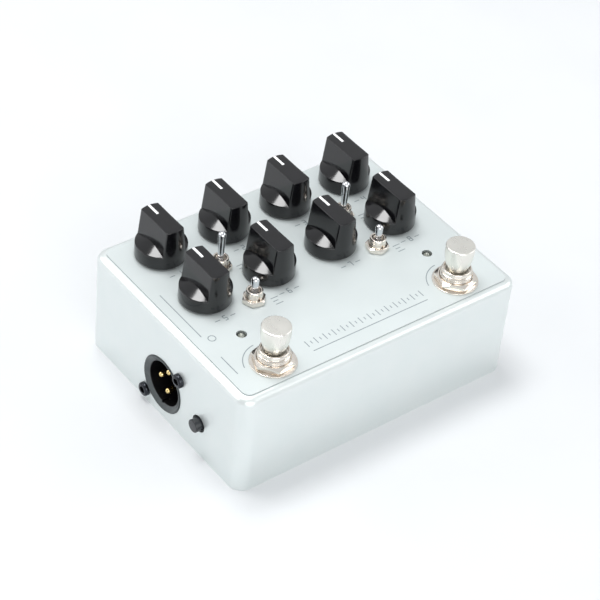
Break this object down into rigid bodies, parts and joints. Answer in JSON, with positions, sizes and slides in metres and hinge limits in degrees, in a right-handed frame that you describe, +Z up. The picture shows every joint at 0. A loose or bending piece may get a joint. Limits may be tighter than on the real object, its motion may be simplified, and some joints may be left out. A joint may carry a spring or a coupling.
{
  "type": "direct injection box",
  "caption": "Silver pedal-style direct injection box with rotary controls, toggle switches, footswitches, a balanced output socket and phone sockets.",
  "frame": {"origin": "centre of the bottom face of the box, under the middle of its width and depth", "axes": "+Z up, +X towards the player's right with the footswitches nearest the player, +Y towards the back edge"},
  "size_m": [0.1322, 0.1005, 0.061],
  "materials": {
    "silver_shell": "fine satin, bead blasted and clear anodised",
    "silver_faceplate": "fine satin, anodised sheet",
    "base_plate": "satin",
    "black_screw": "black oxide",
    "black_knob": "polished phenolic",
    "plain_steel": "turned",
    "chrome_lever": "bright chrome",
    "nickel_cap": "satin bright nickel",
    "nickel_fitting": "bright warm nickel",
    "brass_fitting": "turned brass",
    "gold_contact": "gold flashed",
    "tinned_terminal": "tin plated",
    "led_lens": "clear moulded lens",
    "grey_socket": "satin moulded",
    "black_moulding": "fine matt moulding",
    "green_moulding": "moulded",
    "blue_moulding": "moulded",
    "circuit_board": "solder resist",
    "grey_ribbon": "extruded insulation",
    "capacitor_sleeve": "shrunk sleeve"
  },
  "bodies": {
    "case": {"enclosure_shell": "silver_shell", "faceplate": "silver_faceplate", "bottom_plate": "base_plate", "bottom_screws": "black_screw", "pot_cases": "green_moulding", "pot_bushings": "brass_fitting", "pot_nuts": "nickel_fitting", "pot_washers": "nickel_fitting", "toggle_cases": "blue_moulding", "toggle_bushings": "nickel_fitting", "toggle_nuts": "nickel_fitting", "toggle_terminals": "tinned_terminal", "foot_cases": "blue_moulding", "foot_bushings": "nickel_fitting", "foot_nuts": "nickel_fitting", "foot_washers": "nickel_fitting", "foot_lugs": "tinned_terminal", "status_leds": "led_lens", "led_leads": "tinned_terminal", "xlr_housing": "grey_socket", "xlr_insert": "black_moulding", "xlr_pins": "gold_contact", "xlr_screws": "black_screw", "side_switch_case": "black_moulding", "input_jack_body": "black_moulding", "output_jack_body": "black_moulding", "jack_bushings": "nickel_fitting", "jack_nuts": "nickel_fitting", "jack_washers": "nickel_fitting", "jack_contacts": "gold_contact", "power_inlet_body": "black_moulding", "power_inlet_pin": "tinned_terminal", "control_board": "circuit_board", "audio_board": "circuit_board", "board_ribbon": "grey_ribbon", "capacitors": "capacitor_sleeve", "chips": "black_moulding"},
    "control_rear_1": {"knob_rear_1": "black_knob", "shaft_rear_1": "plain_steel"},
    "control_rear_2": {"knob_rear_2": "black_knob", "shaft_rear_2": "plain_steel"},
    "control_rear_3": {"knob_rear_3": "black_knob", "shaft_rear_3": "plain_steel"},
    "control_rear_4": {"knob_rear_4": "black_knob", "shaft_rear_4": "plain_steel"},
    "control_front_1": {"knob_front_1": "black_knob", "shaft_front_1": "plain_steel"},
    "control_front_2": {"knob_front_2": "black_knob", "shaft_front_2": "plain_steel"},
    "control_front_3": {"knob_front_3": "black_knob", "shaft_front_3": "plain_steel"},
    "control_front_4": {"knob_front_4": "black_knob", "shaft_front_4": "plain_steel"},
    "toggle_rear_left": {"lever_rear_left": "chrome_lever"},
    "toggle_rear_right": {"lever_rear_right": "chrome_lever"},
    "toggle_front_left": {"lever_front_left": "chrome_lever"},
    "toggle_front_right": {"lever_front_right": "chrome_lever"},
    "footswitch_left": {"foot_button_left": "nickel_cap"},
    "footswitch_right": {"foot_button_right": "nickel_cap"},
    "push_button": {"side_button": "black_moulding"}
  },
  "joints": [
    {"name": "turn_rear_1", "type": "hinge", "parent": "case", "child": "control_rear_1", "pos_m": [-0.04245, 0.0328, 0.0529], "axis": [0, 0, 1], "range_deg": [-150, 150]},
    {"name": "turn_rear_2", "type": "hinge", "parent": "case", "child": "control_rear_2", "pos_m": [-0.01415, 0.0328, 0.0529], "axis": [0, 0, 1], "range_deg": [-150, 150]},
    {"name": "turn_rear_3", "type": "hinge", "parent": "case", "child": "control_rear_3", "pos_m": [0.01415, 0.0328, 0.0529], "axis": [0, 0, 1], "range_deg": [-150, 150]},
    {"name": "turn_rear_4", "type": "hinge", "parent": "case", "child": "control_rear_4", "pos_m": [0.04245, 0.0328, 0.0529], "axis": [0, 0, 1], "range_deg": [-150, 150]},
    {"name": "turn_front_1", "type": "hinge", "parent": "case", "child": "control_front_1", "pos_m": [-0.04245, 0.0045, 0.0529], "axis": [0, 0, 1], "range_deg": [-150, 150]},
    {"name": "turn_front_2", "type": "hinge", "parent": "case", "child": "control_front_2", "pos_m": [-0.01415, 0.0045, 0.0529], "axis": [0, 0, 1], "range_deg": [-150, 150]},
    {"name": "turn_front_3", "type": "hinge", "parent": "case", "child": "control_front_3", "pos_m": [0.01415, 0.0045, 0.0529], "axis": [0, 0, 1], "range_deg": [-150, 150]},
    {"name": "turn_front_4", "type": "hinge", "parent": "case", "child": "control_front_4", "pos_m": [0.04245, 0.0045, 0.0529], "axis": [0, 0, 1], "range_deg": [-150, 150]},
    {"name": "throw_rear_left", "type": "hinge", "parent": "case", "child": "toggle_rear_left", "pos_m": [-0.0283, 0.0153, 0.0455], "axis": [1, 0, 0], "range_deg": [-12, 12]},
    {"name": "throw_rear_right", "type": "hinge", "parent": "case", "child": "toggle_rear_right", "pos_m": [0.0283, 0.0153, 0.0455], "axis": [1, 0, 0], "range_deg": [-12, 12]},
    {"name": "throw_front_left", "type": "hinge", "parent": "case", "child": "toggle_front_left", "pos_m": [-0.0283, -0.0058, 0.0455], "axis": [1, 0, 0], "range_deg": [-12, 12]},
    {"name": "throw_front_right", "type": "hinge", "parent": "case", "child": "toggle_front_right", "pos_m": [0.0283, -0.0058, 0.0455], "axis": [1, 0, 0], "range_deg": [-12, 12]},
    {"name": "press_left", "type": "slide", "parent": "case", "child": "footswitch_left", "axis": [0, 0, -1], "range_m": [0, 0.0025], "stiffness_N_per_m": 2000, "springref_m": -0.004},
    {"name": "press_right", "type": "slide", "parent": "case", "child": "footswitch_right", "axis": [0, 0, -1], "range_m": [0, 0.0025], "stiffness_N_per_m": 2000, "springref_m": -0.004},
    {"name": "press_side", "type": "slide", "parent": "case", "child": "push_button", "axis": [1, 0, 0], "range_m": [0, 0.002], "stiffness_N_per_m": 400, "springref_m": -0.002}
  ]
}
